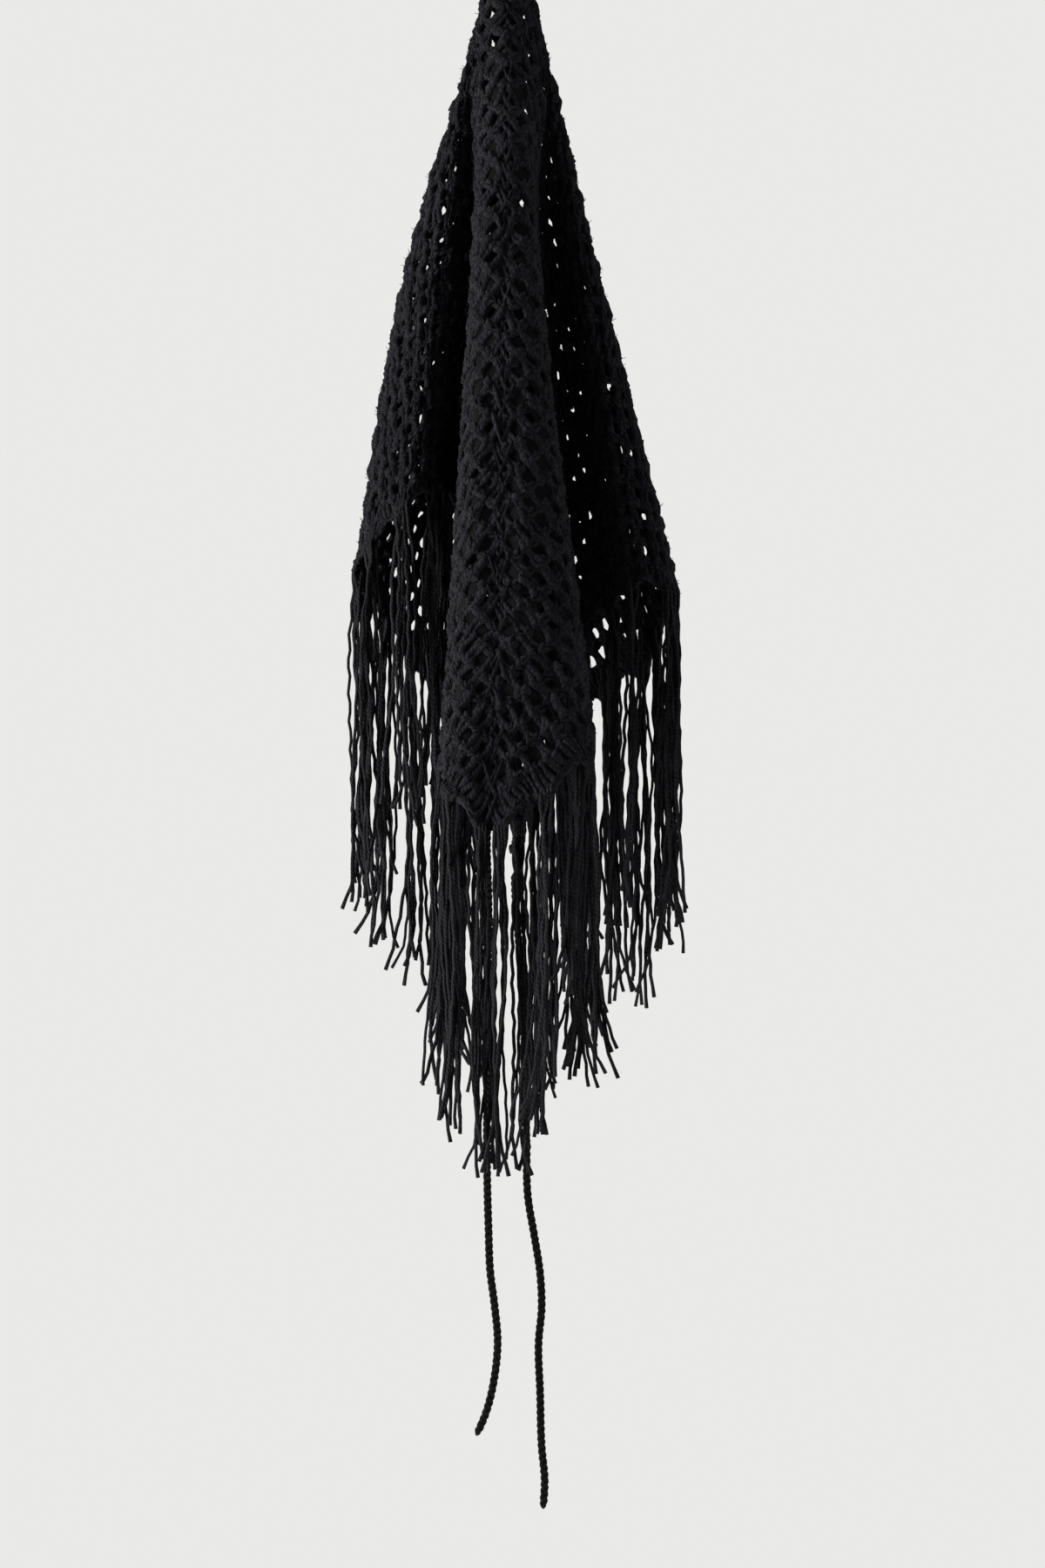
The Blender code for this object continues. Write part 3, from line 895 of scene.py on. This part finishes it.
def row_strip(row, side):
    """One row of the sheet as a mesh, hung in place."""
    stands, eyelet_sides, open_cells = row_columns(row)
    columns, bands = len(stands) - 1, len(LEVELS) - 1
    strip = bmesh.new()
    bmesh.ops.create_grid(strip, x_segments=columns, y_segments=bands, size=0.5)
    gone = []  # the eyelets' cells, apart from each row's first and last band
    for face in strip.faces:
        centre = face.calc_center_median()
        if int((centre.x + 0.5) * columns) in open_cells and abs(centre.y) < 0.5 - 1.0 / bands:
            gone.append(face)
    bmesh.ops.delete(strip, geom=gone, context="FACES")
    flat = []
    for vert in strip.verts:
        column = round((vert.co.x + 0.5) * columns)
        level = round((vert.co.y + 0.5) * bands)
        across = (row - 1) * ROW_PITCH + LEVELS[level]
        at_end = column in (0, columns)
        stretch = max(across, LEAST_ACROSS) / half_length(row) if at_end else 1.0
        along = (stands[column] * stretch
                 + eyelet_sides[column] * EYELET_WIDTHS[level] * SIDE_PULL[side])
        flat.append((along, across, 0.0))
    for vert, point in zip(strip.verts, hang(np.full(len(flat), side), np.array(flat))):
        vert.co = point
    if side < 0:
        bmesh.ops.reverse_faces(strip, faces=strip.faces)
    mesh = bpy.data.meshes.new("strip")
    strip.to_mesh(mesh)
    strip.free()
    return mesh


print("a row of the sheet has", len(LEVELS) - 1, "bands of cells")

# %% [markdown]
# ## Sheet with eyelets
# The strips of all rows are merged where they meet and become one sheet. Its colour is painted
# shade, much darker than the stitches in front of it, so the closed cells between the posts read
# as shadowed eyelets, and a Solidify modifier gives it its wall.
# It takes the place of all the cloth of the imported model.

# %% Sheet with eyelets
SHEET_WALL = 0.9 * MM
# painted shade: the sheet's tone is far darker than the yarn, so closed cells read as shadowed
# eyelets
SHEET_PAINTED_SHADE = 0.1
MERGE_DISTANCE = 0.05 * MM

bm = bmesh.new()
for row in range(1, ROWS + 1):
    for side in (-1, 1):
        bm.from_mesh(row_strip(row, side))
bmesh.ops.remove_doubles(bm, verts=bm.verts, dist=MERGE_DISTANCE)
sheet_mesh = bpy.data.meshes.new("crochet_sheet")
bm.to_mesh(sheet_mesh)
bm.free()
sheet_mesh.materials.append(cloth_yarn)
# the sheet's tone attribute carries its painted shade
tone = sheet_mesh.attributes.new("tone", "FLOAT", "POINT")
tone.data.foreach_set("value", np.full(len(sheet_mesh.vertices), SHEET_PAINTED_SHADE))
sheet = bpy.data.objects.new("crochet_sheet", sheet_mesh)
scene.collection.objects.link(sheet)
wall = sheet.modifiers.new("wall", "SOLIDIFY")
wall.thickness = SHEET_WALL
wall.offset = 0.0
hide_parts("cloth_neck", *["cloth_" + name for name, _, _ in STRETCHES])
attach(sheet, "root")
print("sheet", triangles(sheet), "triangles before its wall")

# %% [markdown]
# ## How a bundle hangs
# Forty bundles of cut yarn are looped through the edge, so each starts at a point of the edge,
# with ways up into the cloth, along the edge and out to the front. Hair from a particle system
# would be quick, but the exported model needs real meshes. So the strands are threads like the
# others, and each has waves of its own.

# %% Roots and waves
HEM_STEP = 0.02
PLACE_STEP = 0.01


def bundle_roots(places):
    """Where each bundle leaves the edge, and the ways up, along and out there."""
    hem = edge_pull(places, np.ones(len(places)))
    edge = cloth_points(places, hem)
    rise = unit(cloth_points(places, hem - HEM_STEP) - edge)
    step = np.where(places > 0, -PLACE_STEP, PLACE_STEP)
    along = unit(cloth_points(places + step, hem) - edge)
    out = unit(np.cross(-rise, along)) * np.sign(step)[:, None]
    return edge, rise, along, out


def eased(amount):
    """An amount from 0 to 1 that starts and ends softly."""
    amount = np.clip(amount, 0, 1)
    return amount * amount * (3 - 2 * amount)


def waves(count, f, turns, sizes):
    """Waves along the strands, each with its own turns and size in mm, that start at rest."""
    turns = rng.uniform(*turns, (count, 1, 2))
    phase = rng.uniform(0, 2 * math.pi, (count, 1, 2))
    size = rng.uniform(*sizes, (count, 1, 2)) * MM
    return size * (np.sin(2 * math.pi * turns * f[:, None] + phase) - np.sin(phase))


bundle_places = (np.arange(BUNDLES) + FIRST_BUNDLE) / BUNDLES
bundle_places = np.concatenate((-bundle_places[::-1], bundle_places))
print(len(bundle_places), "bundles, the first at", bundle_roots(bundle_places)[0][0].round(4))

# %% [markdown]
# ## Strands
# Each bundle has eight strands. Four come out in front of the edge and four behind it, side by
# side, with a small bulge where the loop is drawn tight. Lower down the bundle is round. It
# parts into two or three locks, and each strand has its own waves, a fine crimp from the
# spinning, and a small curl at its cut end. The bundles were cut by hand, so they end at
# slightly different heights.

# %% Paths of the strands
STRANDS = 8
STRAND_STATIONS = 38
ROOT_CROWDING = 1.25
ROOT_RISE = 6 * MM
ROOT_WIDTH = 8 * MM
LAYER = 3.0 * MM
LAYER_LEFT = 0.3  # of the layers' distance, once the bundle hangs freely
LOOP_TOP = 2 * MM
LOOP_LENGTH = 14 * MM
FRINGE_LENGTH = 210 * MM
BUNDLE_CUTS = (0.93, 1.0)
STRAND_CUTS = (0.93, 1.035)
ROUND_RADIUS = 4.4 * MM
ROUND_BELOW = 55 * MM
STRAND_TURN = 2.4  # from one strand to the next round the bundle, in radians
LEAN = 1.9 * MM
LOCK_STRANDS = 3
LOCK_DRIFT = 2.6 * MM
OWN_DRIFT = 1.4 * MM
DRIFT_GROWTH = 0.9
WAVE_TURNS, WAVE_SIZES, WAVE_GROWTH = (0.8, 2.0), (0.8, 2.8), 0.5
CRIMP_PITCH = 21 * MM
CRIMP_TURNS = np.array((0.8, 1.3)) * FRINGE_LENGTH / CRIMP_PITCH
CRIMP_SIZES = (0.25, 0.7)
CURL = 6 * MM
CURL_GROWTH = 9
SWAY_BELOW = 20 * MM


def strand_paths(places):
    """Paths of all the strands of the bundles at some places."""
    count = len(places)
    f = np.linspace(0, 1, STRAND_STATIONS) ** ROOT_CROWDING
    edge, rise, along, out = bundle_roots(places)
    lean = rng.normal(0, LEAN, (count, 2))
    turn = rng.uniform(0, 2 * math.pi, count)
    cut = rng.uniform(*BUNDLE_CUTS, (count, 1))
    middle = (STRANDS // 2 - 1) / 2
    paths = []
    for strand in range(STRANDS):
        if strand % LOCK_STRANDS == 0:
            lock = rng.normal(0, LOCK_DRIFT, (count, 2))
        length = FRINGE_LENGTH * cut * rng.uniform(*STRAND_CUTS, (count, 1)) + ROOT_RISE
        run = length * f
        layer = LAYER * (1 if strand % 2 else -1)
        loop = LAYER_LEFT + (1 - LAYER_LEFT) * np.exp(-(run / LOOP_LENGTH) ** 2)
        bulge = (1 - np.exp(-run / LOOP_TOP)) * loop
        round_share = eased(run / ROUND_BELOW)[..., None]
        column = (strand // 2 - middle) / middle
        angle = STRAND_TURN * strand + turn
        disc = np.stack((np.cos(angle), np.sin(angle)), axis=1)[:, None, :]
        disc = disc * ROUND_RADIUS * ((strand + 0.5) / STRANDS) ** 0.5
        drift = (lean + lock + rng.normal(0, OWN_DRIFT, (count, 2)))[:, None, :]
        sway = (disc * round_share + drift * f[:, None] ** DRIFT_GROWTH
                + waves(count, f, WAVE_TURNS, WAVE_SIZES) * f[:, None] ** WAVE_GROWTH
                + waves(count, f, CRIMP_TURNS, CRIMP_SIZES)
                + rng.normal(0, CURL, (count, 1, 2)) * f[:, None] ** CURL_GROWTH)
        above = np.maximum(ROOT_RISE - run, 0)[..., None]
        below = np.maximum(run - ROOT_RISE, 0)[..., None]
        flat_part = (along * column * 0.5 * ROOT_WIDTH)[:, None, :] * (1 - round_share)
        path = (edge[:, None, :] + rise[:, None, :] * above - UPWARD * below + flat_part
                + out[:, None, :] * (layer * bulge)[..., None])
        path[..., :2] += sway * eased(run / SWAY_BELOW)[..., None]
        paths.append(path)
    return np.concatenate(paths)


print("the fringe is cut", round(FRINGE_LENGTH, 3), "m below the edge")

# %% [markdown]
# ## Fringe
# The fringe is divided in the same stretches as the crochet. Its strands vary a little in
# thickness, as soft yarn does, and end in a small swelling where the cut plies open.

# %% Fringe
STRAND_RADIUS = 1.15 * MM
STRAND_SIDES = 5
STRAND_THICKNESSES = (0.85, 1.12)
CUT_SWELLING = 1.2

tip = np.ones(STRAND_STATIONS)
tip[-1] = CUT_SWELLING
for name, low, high in STRETCHES:
    chosen = bundle_places[(bundle_places > low) & (bundle_places < high)]
    paths = strand_paths(chosen)
    radii = STRAND_RADIUS * rng.uniform(*STRAND_THICKNESSES, (len(paths), 1)) * tip
    threads = bend_tubes(paths, radii, STRAND_SIDES, FRONTWARD)
    piece = add_threads("strands_" + name, [threads], fringe_yarn)
    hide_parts("fringe_" + name)
    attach(piece, "root")
    soft_pieces.append(piece)
    print(piece.name, len(chosen), "bundles,", triangles(piece), "triangles")

# %% [markdown]
# ## Sizes
# The finished scarf is measured once more. Its triangles are counted with the sheet's wall,
# because a piece with too many would be thinned in the export.

# %% Sizes and finish
final = bpy.context.evaluated_depsgraph_get()
counts = [triangles(piece.evaluated_get(final)) for piece in cords + [sheet] + soft_pieces]
print("triangles in all", sum(counts), "and at most", max(counts), "in a piece")

low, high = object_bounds()
print("visual box", tuple(low), tuple(high))
